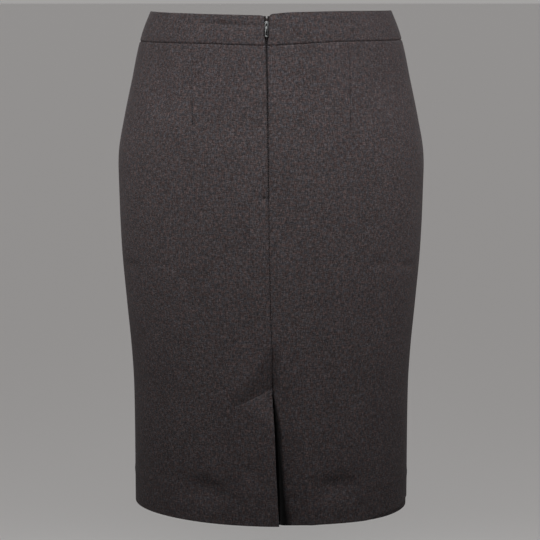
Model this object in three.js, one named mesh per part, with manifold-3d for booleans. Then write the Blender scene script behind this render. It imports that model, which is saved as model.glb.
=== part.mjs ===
// A pencil skirt in fine charcoal suiting, filled out as it is worn. Millimetres, +Z up.
// The origin is the centre of the waist, halfway up the waistband. The back, with its
// concealed zip and its vent, faces -Y, so the wearer's left side seam is at -X.

import * as THREE from 'three';
import { mergeVertices } from 'three/addons/utils/BufferGeometryUtils.js';
import Module from 'manifold-3d';

// Main sizes. A drop is a height, measured down from the waist's top edge.
const BAND_HEIGHT = 35;
const TOP_Z = BAND_HEIGHT / 2;
const FRONT_WAIST_DIP = 10;
const SIDE_HEM_DROP = 590;
const BACK_HEM_DROP = 594;
const RIGHT_HEM_SAG = 4.5;
const HEM_TURN_UP = 40;
const VENT_DROP = 433;
const VENT_WIDTH = 40;
const VENT_SLOPE = 0.45;
const ZIP_END_DROP = 204;

// Cloth: one layer, and two where it is turned up, faced or made double as the band is.
const ONE_LAYER = 1.2;
const TWO_LAYERS = 2.4;
const SEAM_GAP = 0.3;

// Rings of the skirt: half the width at the side seams, the depth from the side seams to
// the back and to the front, and the power of the rounded outline (2 is an ellipse).
const RINGS = [
  { drop: 0, side: 142.0, back: 106, front: 97, power: 2.0 },
  { drop: 35, side: 154.8, back: 112, front: 101, power: 2.0 },
  { drop: 80, side: 164.7, back: 119, front: 106, power: 2.0 },
  { drop: 125, side: 174.2, back: 125, front: 109, power: 2.0 },
  { drop: 165, side: 181.0, back: 129, front: 111, power: 2.0 },
  { drop: 210, side: 181.0, back: 130, front: 112, power: 2.0 },
  { drop: 280, side: 178.4, back: 128, front: 112, power: 1.97 },
  { drop: 345, side: 173.0, back: 124, front: 111, power: 1.94 },
  { drop: 400, side: 168.0, back: 121, front: 110, power: 1.91 },
  { drop: 450, side: 165.4, back: 118, front: 109, power: 1.88 },
  { drop: 594, side: 164.8, back: 116, front: 108, power: 1.85 },
];

// The centre back line, which leans to the right going down, and the gap along it.
const CENTRE_BACK = [
  { drop: 0, x: -5.1, gap: 5.4 },
  { drop: 27, x: -5.2, gap: 5.4 },
  { drop: 34, x: -5.3, gap: 2.6 },
  { drop: 50, x: -5.2, gap: 1.7 },
  { drop: 85, x: -4.2, gap: 1.6 },
  { drop: 198, x: -3.1, gap: 1.6 },
  { drop: 206, x: -3.1, gap: SEAM_GAP },
  { drop: 276, x: -2.1, gap: SEAM_GAP },
  { drop: 339, x: -0.7, gap: SEAM_GAP },
  { drop: 395, x: 1.5, gap: SEAM_GAP },
  { drop: 440, x: 1.7, gap: SEAM_GAP },
  { drop: 481, x: 4.1, gap: SEAM_GAP },
  { drop: 531, x: 6.0, gap: SEAM_GAP },
  { drop: 594, x: 9.5, gap: SEAM_GAP },
];

// How far the band's top edge and its lower seam hang below level, across the back from
// the left side seam (-1) to the right one (+1). The zip pulls the middle down.
const BAND_EDGES = [
  { across: -1.0, top: 0.0, seam: 0.3 },
  { across: -0.5, top: 2.4, seam: 1.0 },
  { across: -0.04, top: 3.9, seam: 3.0 },
  { across: -0.02, top: 2.6, seam: 2.9 },
  { across: 0.14, top: 0.3, seam: 1.8 },
  { across: 0.5, top: -0.9, seam: -1.2 },
  { across: 1.0, top: -1.2, seam: -1.8 },
];
const BAND_CORNER = 4;

// The vent. The left half laps over the right one: its free edge lifts, and the right
// half dips under it, first along the seam above the vent and then all the way down.
const FLAP_LIFT = [
  { drop: 433, lift: 0.0 },
  { drop: 480, lift: 1.6 },
  { drop: 540, lift: 2.4 },
  { drop: 594, lift: 1.0 },
];
const UNDERLAP_DIP = [
  { drop: 370, dip: 0.0 },
  { drop: 425, dip: 3.0 },
  { drop: 433, dip: 3.6 },
  { drop: 455, dip: 8.5 },
  { drop: 480, dip: 12.0 },
  { drop: 540, dip: 15.0 },
  { drop: 594, dip: 9.0 },
];
const FLAP_LIFT_REACH = 35;
const DIP_REACH = 13;
const VENT_LEDGE = 0.8;

// Lattice: columns beside the centre back by their distance from it, then even ones.
const NEAR_CENTRE = [0, 3, 7, 13, 22, 34, 48];
const BAND_NEAR_CENTRE = [0, 0.4, 1.4, 4, 6, 20, 48];
const FAR_COLUMNS = 11;
const FRONT_COLUMNS = 34;
const UNDERLAP_COLUMNS = 4;
const BAND_ROW_SHARES = [0, 0.28, 0.68, 0.88, 1];
const HEM_LEVEL_DROP = 515;
const PANEL_ROWS = [
  36, 60, 85, 105, 125, 145, 165, 198, 206, 245, 285, 330, 375, 410, 433, 455, 480, 515,
  552, 553, 594,
];

// The zip: two tapes inside the opening, the coil between them, the slider at the top
// with its bridge, and the drop-shaped tab that hangs on the bridge.
const TAPE_WIDTH = 11;
const TAPE_THICKNESS = 1.0;
const TAPE_INNER_EDGE = [
  { drop: 4.5, edge: 0.9 },
  { drop: 10.0, edge: 0.9 },
  { drop: 10.3, edge: 2.6 },
  { drop: 21.0, edge: 2.6 },
  { drop: 21.3, edge: 0.3 },
  { drop: 210, edge: 0.3 },
];
const TAPE_ROWS = [4.5, 10.0, 10.3, 21.0, 21.3, 39, 46, 70, 95, 125, 160, 185, 210];
const COIL_WIDTH = 3.6;
const COIL_THICKNESS = 1.5;
const COIL_ROWS = [21.2, 39, 46, 70, 95, 125, 160, 185, ZIP_END_DROP - 4.3];
const STOP_WIDTH = 4.6;
const STOP_THICKNESS = 1.9;
const STOP_ROWS = [ZIP_END_DROP - 4, ZIP_END_DROP];

const HINGE_DROP = 13.7;
const HINGE_LIFT = 1.0;
const SLIDER = { width: 4.6, above: 3, below: 7, outer: 2.4, inner: 6.2, waist: 3.8 };
const BRIDGE = { width: 1.0, inner: 1.2, outer: 2.0, root: 2.9 };
const TAB = { thickness: 1.0, neck: 1.35, above: 0.5, radius: 2.1, end: 15.6 };
const TAB_EYE = { half: 0.8, top: 0.5, bottom: 2.9 };
const TAB_SLOT = { half: 0.5, top: 8.6, bottom: 13.8 };

const lerp = THREE.MathUtils.lerp;
const smoothstep = THREE.MathUtils.smoothstep;

// One column of a table at a key's value: straight between rows, level past the ends.
function straightAt(table, key, value, column) {
  if (value <= table[0][key]) return table[0][column];
  for (let i = 1; i < table.length; i++) {
    const low = table[i - 1];
    const high = table[i];
    if (value <= high[key]) {
      return lerp(low[column], high[column], (value - low[key]) / (high[key] - low[key]));
    }
  }
  return table.at(-1)[column];
}

// A column of the rings at a drop, along a smooth curve through the rows.
function ringSize(drop, column) {
  const d = THREE.MathUtils.clamp(drop, 0, RINGS.at(-1).drop);
  const i = Math.max(1, RINGS.findIndex((ring) => ring.drop >= d));
  const slopeAt = (k) => {
    const a = RINGS[Math.max(0, k - 1)];
    const b = RINGS[Math.min(RINGS.length - 1, k + 1)];
    return (b[column] - a[column]) / (b.drop - a.drop);
  };
  const low = RINGS[i - 1];
  const high = RINGS[i];
  const span = high.drop - low.drop;
  const t = (d - low.drop) / span;
  const ease = t * t * (3 - 2 * t);
  const leave = slopeAt(i - 1) * span * t * (1 - t) * (1 - t);
  const arrive = slopeAt(i) * span * t * t * (1 - t);
  return lerp(low[column], high[column], ease) + leave - arrive;
}

// A point of the skirt's surface. The turn goes from the left side seam (0) across the
// back to the right side seam (PI) and on across the front.
function surfacePoint(turn, drop) {
  const c = Math.cos(turn);
  const s = Math.sin(turn);
  const exponent = 2 / ringSize(drop, 'power');
  const depth = ringSize(drop, s >= 0 ? 'back' : 'front');
  return new THREE.Vector3(
    -ringSize(drop, 'side') * Math.sign(c) * Math.abs(c) ** exponent,
    -depth * Math.sign(s) * Math.abs(s) ** exponent,
    TOP_Z - drop,
  );
}

// The same point moved out of the skirt along the surface's normal, or in if negative.
function liftedPoint(turn, drop, lift) {
  const step = 0.01;
  const around = surfacePoint(turn + step, drop).sub(surfacePoint(turn - step, drop));
  const down = surfacePoint(turn, drop + 1).sub(surfacePoint(turn, drop - 1));
  down.z = -2;
  const normal = down.cross(around).normalize();
  return surfacePoint(turn, drop).addScaledVector(normal, lift);
}

// The turn at which the back half of the ring at a drop has this x.
function backTurn(x, drop) {
  const share = x / ringSize(drop, 'side');
  return Math.acos(-Math.sign(share) * Math.abs(share) ** (ringSize(drop, 'power') / 2));
}

// The small turn from a side seam's line to a piece's edge, half a seam gap away.
function seamTurn(drop, column) {
  const share = SEAM_GAP / 2 / ringSize(drop, column);
  return Math.asin(share ** (ringSize(drop, 'power') / 2));
}

const centreX = (drop) => straightAt(CENTRE_BACK, 'drop', drop, 'x');
const centreGap = (drop) => straightAt(CENTRE_BACK, 'drop', drop, 'gap');

// Where a point of the back lies: its distance from the centre back line.
function fromCentre(turn, drop) {
  return surfacePoint(turn, drop).x - centreX(drop);
}

// The turn of a column of a back piece, counted from the centre back (0) to the side
// seam. The hand is -1 for the left half and 1 for the right half.
function backColumnTurn(column, drop, hand, near) {
  const edge = centreX(drop) + (hand * centreGap(drop)) / 2;
  if (column < near.length) return backTurn(edge + hand * near[column], drop);
  const last = backTurn(edge + hand * near.at(-1), drop);
  const seam = hand < 0 ? seamTurn(drop, 'back') : Math.PI - seamTurn(drop, 'back');
  return lerp(last, seam, (column - near.length + 1) / FAR_COLUMNS);
}

// The drop of one of the band's edges below level, at a turn. The waist sits lower at
// the centre front than at the sides.
function bandEdge(turn, column) {
  const across = -Math.cos(turn);
  if (Math.sin(turn) >= 0) return straightAt(BAND_EDGES, 'across', across, column);
  const sides = lerp(BAND_EDGES[0][column], BAND_EDGES.at(-1)[column], (across + 1) / 2);
  return sides + FRONT_WAIST_DIP * Math.sin(turn) ** 2;
}
const seamDrop = (turn) => BAND_HEIGHT + bandEdge(turn, 'seam');

// The hem's drop at a turn. Round the right side seam the turned-up layer sags lower.
function hemDrop(turn) {
  const level = lerp(SIDE_HEM_DROP, BACK_HEM_DROP, Math.abs(Math.sin(turn)));
  const fromSeam = Math.abs(turn - Math.PI);
  return level + RIGHT_HEM_SAG * (1 - smoothstep(fromSeam, 0.5, 1.35));
}

// A panel's rows run from under the band to the hem, level at first and then with it.
function panelDrop(row, turn) {
  if (row === 0) return seamDrop(turn) + SEAM_GAP / 2;
  const fromHem = BACK_HEM_DROP - PANEL_ROWS[row];
  const nearHem = smoothstep(PANEL_ROWS[row], VENT_DROP, HEM_LEVEL_DROP);
  return lerp(PANEL_ROWS[row], hemDrop(turn) - fromHem, nearHem);
}

// How far the left half stands out near the vent: its lifted edge, and the ledge where
// it lies on the underlap, below a line that slopes down from the vent's top.
function leftLift(fromEdge, drop) {
  const inward = Math.max(0, -fromEdge);
  const lift = straightAt(FLAP_LIFT, 'drop', drop, 'lift');
  const ledgeDrop = VENT_DROP + VENT_SLOPE * inward;
  const onUnderlap = smoothstep(drop, ledgeDrop - 3, ledgeDrop + 5);
  const fade = 1 - smoothstep(inward, VENT_WIDTH * 0.6, VENT_WIDTH * 1.2);
  return lift * (1 - smoothstep(inward, 0, FLAP_LIFT_REACH)) + VENT_LEDGE * onUnderlap * fade;
}

// How far the right half stands in: all of the dip on the underlap, fading out beside it.
function rightLift(fromEdge, drop) {
  const dip = straightAt(UNDERLAP_DIP, 'drop', drop, 'dip');
  return -dip * (1 - smoothstep(fromEdge, 0, DIP_REACH));
}

// The layers of a panel: two along the turned-up hem and in the left flap's facing.
function panelThickness(row, drop, fromEdge, hand) {
  const hem = PANEL_ROWS[row] > BACK_HEM_DROP - HEM_TURN_UP - 1.5;
  const facing = hand < 0 && drop > VENT_DROP && fromEdge > -VENT_WIDTH;
  return hem || facing ? TWO_LAYERS : ONE_LAYER;
}

// A sheet of cloth as one closed solid, from the cells of a lattice. Columns follow the
// turn and rows go down. point(column, row) gives the outer and inner points there.
function sheetSolid(columns, rows, hasCell, point) {
  const positions = [];
  const numbers = new Map();
  const faces = [];
  const vertex = (column, row, side) => {
    const key = `${column},${row}`;
    if (!numbers.has(key)) {
      numbers.set(key, positions.length / 3);
      for (const p of point(column, row)) positions.push(p.x, p.y, p.z);
    }
    return numbers.get(key) + side;
  };
  const outer = (column, row) => vertex(column, row, 0);
  const inner = (column, row) => vertex(column, row, 1);
  const quad = (a, b, c, d) => faces.push(a, b, c, a, c, d);
  const filled = (i, j) => i >= 0 && i < columns && j >= 0 && j < rows && hasCell(i, j);
  for (let i = 0; i < columns; i++) {
    for (let j = 0; j < rows; j++) {
      if (!filled(i, j)) continue;
      const [i2, j2] = [i + 1, j + 1];
      quad(outer(i, j), outer(i, j2), outer(i2, j2), outer(i2, j));
      quad(inner(i, j), inner(i2, j), inner(i2, j2), inner(i, j2));
      if (!filled(i - 1, j)) quad(inner(i, j), inner(i, j2), outer(i, j2), outer(i, j));
      if (!filled(i2, j)) quad(outer(i2, j), outer(i2, j2), inner(i2, j2), inner(i2, j));
      if (!filled(i, j - 1)) quad(inner(i, j), outer(i, j), outer(i2, j), inner(i2, j));
      if (!filled(i, j2)) quad(inner(i2, j2), outer(i2, j2), outer(i, j2), inner(i, j2));
    }
  }
  const geometry = new THREE.BufferGeometry();
  geometry.setAttribute('position', new THREE.Float32BufferAttribute(positions, 3));
  geometry.setIndex(faces);
  geometry.computeVertexNormals();
  return geometry;
}
const everyCell = () => true;

// The outer and inner points of a wall at a turn and a drop.
function wallPoints(turn, drop, lift, thickness) {
  return [liftedPoint(turn, drop, lift), liftedPoint(turn, drop, lift - thickness)];
}

// The front, cut in one piece from side seam to side seam.
function frontTurn(column, drop) {
  const gap = seamTurn(drop, 'front');
  return lerp(Math.PI + gap, 2 * Math.PI - gap, column / FRONT_COLUMNS);
}

function frontPanel() {
  const point = (column, row) => {
    const drop = panelDrop(row, frontTurn(column, PANEL_ROWS[row]));
    return wallPoints(frontTurn(column, drop), drop, 0, panelThickness(row, drop, 0, 1));
  };
  return sheetSolid(FRONT_COLUMNS, PANEL_ROWS.length - 1, everyCell, point);
}

// The left back, whose free edge is the vent's upper flap. Its columns are counted from
// the side seam, to follow the turn.
function backLeftPanel() {
  const columns = NEAR_CENTRE.length - 1 + FAR_COLUMNS;
  const point = (column, row) => {
    const turnAt = (drop) => backColumnTurn(columns - column, drop, -1, NEAR_CENTRE);
    const drop = panelDrop(row, turnAt(PANEL_ROWS[row]));
    const turn = turnAt(drop);
    const away = fromCentre(turn, drop);
    const thickness = panelThickness(row, drop, away, -1);
    return wallPoints(turn, drop, leftLift(away, drop), thickness);
  };
  return sheetSolid(columns, PANEL_ROWS.length - 1, everyCell, point);
}

// The right back, cut in one with the underlap: extra columns behind the left flap, from
// a sloping top edge down to the hem.
function backRightPanel() {
  const own = NEAR_CENTRE.length - 1 + FAR_COLUMNS;
  const ventRow = PANEL_ROWS.indexOf(VENT_DROP);
  const hasCell = (column, row) => column >= UNDERLAP_COLUMNS || row >= ventRow;
  const point = (column, row) => {
    const ownColumn = Math.max(0, column - UNDERLAP_COLUMNS);
    const turnAt = (drop) => backColumnTurn(ownColumn, drop, 1, NEAR_CENTRE);
    let drop = panelDrop(row, turnAt(PANEL_ROWS[row]));
    let turn = turnAt(drop);
    if (column < UNDERLAP_COLUMNS) {
      const reach = VENT_WIDTH * (1 - column / UNDERLAP_COLUMNS);
      const share = (PANEL_ROWS[row] - VENT_DROP) / (BACK_HEM_DROP - VENT_DROP);
      drop += VENT_SLOPE * reach * (1 - share);
      turn = backTurn(centreX(drop) + centreGap(drop) / 2 - reach, drop);
    }
    const lift = rightLift(fromCentre(turn, drop), drop);
    return wallPoints(turn, drop, lift, panelThickness(row, drop, 0, 1));
  };
  return sheetSolid(UNDERLAP_COLUMNS + own, PANEL_ROWS.length - 1, hasCell, point);
}

// A band piece runs from the top edge to the seam; at the zip its top corner is rounded.
function bandDrop(turn, row, fromZip) {
  const short = Math.max(0, BAND_CORNER - fromZip);
  const corner = BAND_CORNER - Math.sqrt(BAND_CORNER ** 2 - short ** 2);
  const top = bandEdge(turn, 'top') + corner;
  return lerp(top, seamDrop(turn) - SEAM_GAP / 2, BAND_ROW_SHARES[row]);
}

function frontBand() {
  const point = (column, row) => {
    const drop = bandDrop(frontTurn(column, 0), row, BAND_CORNER);
    return wallPoints(frontTurn(column, drop), drop, 0, TWO_LAYERS);
  };
  return sheetSolid(FRONT_COLUMNS, BAND_ROW_SHARES.length - 1, everyCell, point);
}

function backBand(hand) {
  const columns = BAND_NEAR_CENTRE.length - 1 + FAR_COLUMNS;
  const point = (column, row) => {
    const fromCentreBack = hand < 0 ? columns - column : column;
    const turnAt = (drop) => backColumnTurn(fromCentreBack, drop, hand, BAND_NEAR_CENTRE);
    const fromZip = BAND_NEAR_CENTRE[fromCentreBack] ?? BAND_CORNER;
    const drop = bandDrop(turnAt(BAND_HEIGHT / 2), row, fromZip);
    return wallPoints(turnAt(drop), drop, 0, TWO_LAYERS);
  };
  return sheetSolid(columns, BAND_ROW_SHARES.length - 1, everyCell, point);
}

// Strips of the zip lie a seam gap inside the cloth, which is double behind the band.
function insideCloth(drop) {
  const behindBand = 1 - smoothstep(drop, 39, 46);
  return -lerp(ONE_LAYER, TWO_LAYERS, behindBand) - SEAM_GAP;
}

// A strip between two distances from the centre back line.
function zipStrip(rows, edges, columns, depth, thickness) {
  const point = (column, row) => {
    const drop = rows[row];
    const [low, high] = edges(drop);
    const turn = backTurn(centreX(drop) + lerp(low, high, column / columns), drop);
    return wallPoints(turn, drop, insideCloth(drop) - depth, thickness);
  };
  return sheetSolid(columns, rows.length - 1, everyCell, point);
}

function zipTape(hand) {
  const edges = (drop) => {
    const inner = hand * straightAt(TAPE_INNER_EDGE, 'drop', drop, 'edge');
    const outer = hand * TAPE_WIDTH;
    return hand < 0 ? [outer, inner] : [inner, outer];
  };
  return zipStrip(TAPE_ROWS, edges, 2, 0, TAPE_THICKNESS);
}

function zipBar(rows, width, thickness) {
  const edges = () => [-width / 2, width / 2];
  return zipStrip(rows, edges, 1, TAPE_THICKNESS + SEAM_GAP, thickness);
}

// The slider's frame: X across, Y up along the band, Z out of it, at the hinge's axis.
function zipHead() {
  const drop = HINGE_DROP;
  const foot = surfacePoint(backTurn(centreX(drop), drop), drop);
  const slope = Math.atan((ringSize(BAND_HEIGHT, 'back') - ringSize(0, 'back')) / BAND_HEIGHT);
  const outward = new THREE.Vector3(0, -Math.cos(slope), Math.sin(slope));
  const head = new THREE.Group();
  head.position.copy(foot).addScaledVector(outward, HINGE_LIFT);
  head.rotation.x = Math.PI / 2 - slope;
  return head;
}

// An outline in X and Y made solid between two heights along Z.
function slab(shape, low, high) {
  const depth = high - low;
  const steps = { depth, bevelEnabled: false, curveSegments: 10 };
  return new THREE.ExtrudeGeometry(shape, steps).translate(0, 0, low);
}

// The slider body is narrower at its foot, and its bridge is an arch over the hinge.
function sliderGeometry(wasm) {
  const half = SLIDER.width / 2;
  const body = new THREE.Shape();
  body.moveTo(-half, SLIDER.above);
  body.lineTo(-half, -SLIDER.below / 2);
  body.lineTo(-SLIDER.waist / 2, -SLIDER.below);
  body.lineTo(SLIDER.waist / 2, -SLIDER.below);
  body.lineTo(half, -SLIDER.below / 2);
  body.lineTo(half, SLIDER.above);
  const arch = new THREE.Shape();
  arch.moveTo(BRIDGE.outer, -BRIDGE.root);
  arch.absarc(0, 0, BRIDGE.outer, 0, Math.PI, false);
  arch.lineTo(-BRIDGE.outer, -BRIDGE.root);
  arch.lineTo(-BRIDGE.inner, -BRIDGE.root);
  arch.absarc(0, 0, BRIDGE.inner, Math.PI, 0, true);
  arch.lineTo(BRIDGE.inner, -BRIDGE.root);
  // The arch is drawn in X and Y: turned so that its X runs up the band and its Y out.
  const bridge = slab(arch, -BRIDGE.width / 2, BRIDGE.width / 2);
  bridge.rotateX(Math.PI / 2).rotateZ(Math.PI / 2);
  const parts = [slab(body, -SLIDER.inner, -SLIDER.outer), bridge];
  const [first, second] = parts.map((geometry) => toManifold(wasm, geometry));
  return fromManifold(first.add(second));
}

function toManifold(wasm, geometry) {
  const bare = geometry.clone();
  bare.deleteAttribute('normal');
  bare.deleteAttribute('uv');
  const merged = mergeVertices(bare, 1e-4);
  const vertProperties = new Float32Array(merged.attributes.position.array);
  const triVerts = new Uint32Array(merged.index.array);
  return new wasm.Manifold(new wasm.Mesh({ numProp: 3, vertProperties, triVerts }));
}

function fromManifold(solid) {
  const { vertProperties, triVerts } = solid.getMesh();
  const geometry = new THREE.BufferGeometry();
  geometry.setAttribute('position', new THREE.BufferAttribute(vertProperties, 3));
  geometry.setIndex(new THREE.BufferAttribute(triVerts, 1));
  geometry.computeVertexNormals();
  return geometry;
}

// A hole with round ends in the tab, between two distances below the hinge.
function roundHole({ half, top, bottom }) {
  const hole = new THREE.Path();
  hole.absarc(0, -top - half, half, 0, Math.PI, false);
  hole.absarc(0, -bottom + half, half, Math.PI, 2 * Math.PI, false);
  hole.closePath();
  return hole;
}

// The tab: a narrow neck that widens to a round end, with an eye and a long slot.
function tabGeometry() {
  const outline = new THREE.Shape();
  outline.moveTo(TAB.neck, TAB.above);
  outline.lineTo(-TAB.neck, TAB.above);
  outline.lineTo(-TAB.neck, -TAB_EYE.bottom);
  outline.absarc(0, -TAB.end + TAB.radius, TAB.radius, Math.PI, 2 * Math.PI, false);
  outline.lineTo(TAB.neck, -TAB_EYE.bottom);
  outline.closePath();
  outline.holes.push(roundHole(TAB_EYE), roundHole(TAB_SLOT));
  return slab(outline, -TAB.thickness / 2, TAB.thickness / 2);
}

const wasm = await Module();
wasm.setup();

const CLOTH = { color: 0x353031, roughness: 0.92, metalness: 0 };
const BAND_CLOTH = { color: 0x363132, roughness: 0.92, metalness: 0 };
const TAPE_CLOTH = { color: 0x2b2326, roughness: 0.9, metalness: 0 };
const COIL = { color: 0x1d1b1d, roughness: 0.5, metalness: 0 };
const METAL = { color: 0x9a9a9c, roughness: 0.3, metalness: 1 };

function piece(name, geometry, look) {
  const mesh = new THREE.Mesh(geometry, new THREE.MeshStandardMaterial(look));
  mesh.name = name;
  return mesh;
}

const head = zipHead();
head.add(piece('zip_slider', sliderGeometry(wasm), METAL));
head.add(piece('zip_pull', tabGeometry(), METAL));

const skirt = new THREE.Group();
skirt.add(
  piece('front_panel', frontPanel(), CLOTH),
  piece('back_left_panel', backLeftPanel(), CLOTH),
  piece('back_right_panel', backRightPanel(), CLOTH),
  piece('waistband_front', frontBand(), BAND_CLOTH),
  piece('waistband_back_left', backBand(-1), BAND_CLOTH),
  piece('waistband_back_right', backBand(1), BAND_CLOTH),
  piece('zip_tape_left', zipTape(-1), TAPE_CLOTH),
  piece('zip_tape_right', zipTape(1), TAPE_CLOTH),
  piece('zip_coil', zipBar(COIL_ROWS, COIL_WIDTH, COIL_THICKNESS), COIL),
  piece('zip_bottom_stop', zipBar(STOP_ROWS, STOP_WIDTH, STOP_THICKNESS), METAL),
  head,
);

export default skirt;
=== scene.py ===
import math

import bmesh
import bpy
import numpy as np
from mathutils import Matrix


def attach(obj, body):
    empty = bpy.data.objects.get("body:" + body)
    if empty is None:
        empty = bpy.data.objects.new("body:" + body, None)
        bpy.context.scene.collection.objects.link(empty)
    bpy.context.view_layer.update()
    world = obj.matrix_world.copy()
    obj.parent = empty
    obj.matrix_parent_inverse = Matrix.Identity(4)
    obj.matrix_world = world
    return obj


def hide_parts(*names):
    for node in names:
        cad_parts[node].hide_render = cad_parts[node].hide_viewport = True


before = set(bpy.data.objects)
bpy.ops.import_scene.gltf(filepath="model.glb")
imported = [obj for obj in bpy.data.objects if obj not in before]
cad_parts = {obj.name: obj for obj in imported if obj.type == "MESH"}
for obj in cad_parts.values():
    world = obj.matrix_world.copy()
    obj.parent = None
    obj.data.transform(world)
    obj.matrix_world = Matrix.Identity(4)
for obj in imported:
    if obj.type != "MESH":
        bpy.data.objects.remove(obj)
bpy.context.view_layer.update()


# The skirt's front, cut in one from side seam to side seam in fine charcoal suiting. It
# is shaped by two waist darts and filled out to a general figure. Its edges are rolled in
# at the seams, and its hem is turned up inside. The rings give the figure's form.
BAND_HEIGHT = 0.035
TOP_Z = BAND_HEIGHT / 2
FRONT_WAIST_DIP = 0.010
SIDE_HEM_DROP = 0.590
BACK_HEM_DROP = 0.594
RIGHT_HEM_SAG = 0.0045
HEM_SAG_TURNS = (0.5, 1.35)
HEM_TURN_UP = 0.040
HEM_TURN_STEP = 0.0006
HEM_IMPRINT = 0.0005
HEM_IMPRINT_WIDTH = 0.0040
VENT_DROP = 0.433
ONE_LAYER = 0.0012
TWO_LAYERS = 0.0024
SEAM_GAP = 0.0003
MEAN_GIRTH_RADIUS = 0.155

# Near the right side seam the outer layer ends short of the hem. Each row is a height, and
# the turns from the seam between which it fades out.
HEM_STRIP_HEIGHTS = ((0.0045, 0.60, 0.85), (0.0060, 0.10, 0.42))
HEM_STRIP_START = (0.0005, 0.0015)
HEM_STRIP_STEP = 0.0011
HEM_STRIP_EDGE = 0.0003


def table(columns, rows):
    """Rows of numbers with named columns."""
    return np.array(rows, dtype=[(name, float) for name in columns.split()])


RINGS = table("drop side back front power", [
    (0.000, 0.1420, 0.106, 0.097, 2.00),
    (0.035, 0.1548, 0.112, 0.101, 2.00),
    (0.080, 0.1647, 0.119, 0.106, 2.00),
    (0.125, 0.1742, 0.125, 0.109, 2.00),
    (0.165, 0.1810, 0.129, 0.111, 2.00),
    (0.210, 0.1810, 0.130, 0.112, 2.00),
    (0.280, 0.1784, 0.128, 0.112, 1.97),
    (0.345, 0.1730, 0.124, 0.111, 1.94),
    (0.400, 0.1680, 0.121, 0.110, 1.91),
    (0.450, 0.1654, 0.118, 0.109, 1.88),
    (0.594, 0.1648, 0.116, 0.108, 1.85),
])

# How far the band's top edge and lower seam hang below level, from side to side (-1 to 1).
BAND_EDGES = table("across top seam", [
    (-1.00, 0.0000, 0.0003),
    (-0.50, 0.0024, 0.0010),
    (-0.04, 0.0039, 0.0030),
    (-0.02, 0.0026, 0.0029),
    (0.14, 0.0003, 0.0018),
    (0.50, -0.0009, -0.0012),
    (1.00, -0.0012, -0.0018),
])

# Distances from an edge at which the cloth bends, and the bends themselves.
EDGE_STEPS = np.array([0, 0.00018, 0.0005, 0.0009, 0.0014, 0.0022])
SEAM_ROLL = 0.0011
SEAM_ROLL_REACH = 0.0020
FOLD_ROUNDNESS = 0.94
COLUMN_STEP = 0.0032
ROW_STEP = 0.0030
PLAIN_ROWS = np.arange(0.0395, 0.580, ROW_STEP)
SIDE_DENT_ROWS = np.arange(0.270, 0.298, ROW_STEP / 2)
HEM_STRIP_ROWS = np.arange(0.0027, 0.0125, 0.0006)
LEVEL_FROM = 0.065
LIKE_THE_HEM_FROM = 0.515
CENTRE_HALF = 0.112
BETWEEN_COLUMNS = 20

ALLOWANCE = 0.015
ALLOWANCE_CLOTH = 0.0010
ALLOWANCE_CURL = 0.0012
ALLOWANCE_SHARES = np.array([0, 0.02, 0.3, 0.65, 0.98, 1])
SEAM_CORE_STEPS = np.array([-0.0011, -0.0004, 0.0004, 0.0011])
SEAM_CORE_LIFT = -0.0013
SEAM_CORE_CLOTH = 0.0005
SEAM_CORE_ROWS = np.append(np.arange(0.0012, 0.587, 0.006), 0.5885)
SEAM_ROWS = np.arange(0.042, 0.553, 0.007)
DART_FOLD_ROWS = np.arange(0.042, 0.134, 0.006)

DART_END = 0.138
DART_FADE = 0.045
DART_CLOSING = 0.010
DART_GROOVE = 0.0008
DART_GROOVE_WIDTH = 0.0006
DART_RIDGE = 0.0003
DART_RIDGE_SOFT = 0.004
DART_RIDGE_EDGE = 0.0012
DART_LAYERS_WIDTH = 0.009
DART_LAYERS_LEAST = 0.001
DART_TIP = 0.122
DART_TIP_REACH = 0.008
DART_STEPS = np.array([-0.0026, -0.0016, -0.001, -0.0005, 0, 0.0005, 0.001, 0.0018])
FRONT_DART = 0.078


def smooth(value, low, high):
    """0 below low, 1 above high, and a smooth step between them."""
    t = np.clip((value - low) / (high - low), 0, 1)
    return t * t * (3 - 2 * t)


def lerp(low, high, share):
    return low + (high - low) * share


def ring(drop, column):
    """A column of the rings at a drop, on a smooth curve through the rows."""
    drops, sizes = RINGS["drop"], RINGS[column]
    ahead = np.append(np.arange(1, len(RINGS)), len(RINGS) - 1)
    behind = np.append(0, np.arange(len(RINGS) - 1))
    slopes = (sizes[ahead] - sizes[behind]) / (drops[ahead] - drops[behind])
    drop = np.clip(drop, 0, drops[-1])
    high = np.clip(np.searchsorted(drops, drop), 1, len(RINGS) - 1)
    low = high - 1
    span = drops[high] - drops[low]
    t = (drop - drops[low]) / span
    leave = slopes[low] * span * t * (1 - t) ** 2
    arrive = slopes[high] * span * t**2 * (1 - t)
    return lerp(sizes[low], sizes[high], t * t * (3 - 2 * t)) + leave - arrive


def form_x(turn, drop):
    """How far to the side a turn lies. Turn 0 is the left side seam, and pi the right."""
    c = np.cos(turn)
    return -ring(drop, "side") * np.sign(c) * np.abs(c) ** (2 / ring(drop, "power"))


def turn_at(x, drop):
    """The turn on the back half of a ring that has this x."""
    share = x / ring(drop, "side")
    return np.arccos(-np.sign(share) * np.abs(share) ** (ring(drop, "power") / 2))


def turn_from_seam(distance, drop, depth):
    """The small turn from a side seam to a line this far from it."""
    share = np.clip(distance / ring(drop, depth), 0, 1)
    return np.arcsin(share ** (ring(drop, "power") / 2))


def band_edge(turn, column):
    """How far an edge of the band hangs below level at a turn."""
    across = -np.cos(turn)
    level, edges = BAND_EDGES["across"], BAND_EDGES[column]
    front = lerp(edges[0], edges[-1], (across + 1) / 2) + FRONT_WAIST_DIP * np.sin(turn) ** 2
    return np.where(np.sin(turn) >= 0, np.interp(across, level, edges), front)


def seam_drop(turn):
    return BAND_HEIGHT + band_edge(turn, "seam")


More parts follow.
